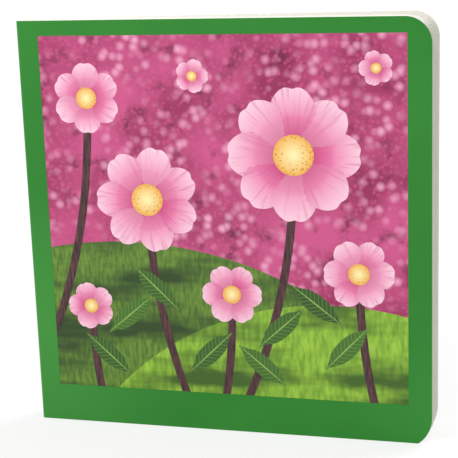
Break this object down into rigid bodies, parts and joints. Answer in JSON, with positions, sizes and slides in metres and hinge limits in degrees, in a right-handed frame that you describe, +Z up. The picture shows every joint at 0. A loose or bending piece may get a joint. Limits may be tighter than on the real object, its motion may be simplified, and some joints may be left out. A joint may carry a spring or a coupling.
{
  "type": "board book",
  "caption": "Square children's board book that stands a little fanned open, with thick card leaves, rounded fore-edge corners and hinged covers.",
  "frame": {"origin": "on the surface the book stands on, under the middle of its overall box", "axes": "+Z up along the spine, +Y from the front cover towards the back cover, +X from the spine towards the fore edge"},
  "size_m": [0.1971, 0.0292, 0.2],
  "materials": {
    "cover_green": "satin",
    "board_white": "matte",
    "sky_pink": "satin",
    "far_green": "satin",
    "near_green": "satin",
    "stem_brown": "satin",
    "leaf_green": "satin",
    "petal_pink": "satin",
    "heart_yellow": "satin"
  },
  "bodies": {
    "book_block": {"spine": "cover_green", "page_block": "board_white"},
    "front_cover": {"front_cover": "cover_green", "picture_sky": "sky_pink", "picture_far_hill": "far_green", "picture_near_hill": "near_green", "picture_stems": "stem_brown", "picture_leaves": "leaf_green", "picture_petals": "petal_pink", "picture_hearts": "heart_yellow"},
    "back_cover": {"back_cover": "cover_green"}
  },
  "joints": [
    {"name": "front_cover_hinge", "type": "hinge", "parent": "book_block", "child": "front_cover", "pos_m": [-0.0985, -0.01205, 0], "axis": [0, 0, -1], "range_deg": [0, 180]},
    {"name": "back_cover_hinge", "type": "hinge", "parent": "book_block", "child": "back_cover", "pos_m": [-0.0985, -0.00305, 0], "axis": [0, 0, 1], "range_deg": [0, 175]}
  ]
}
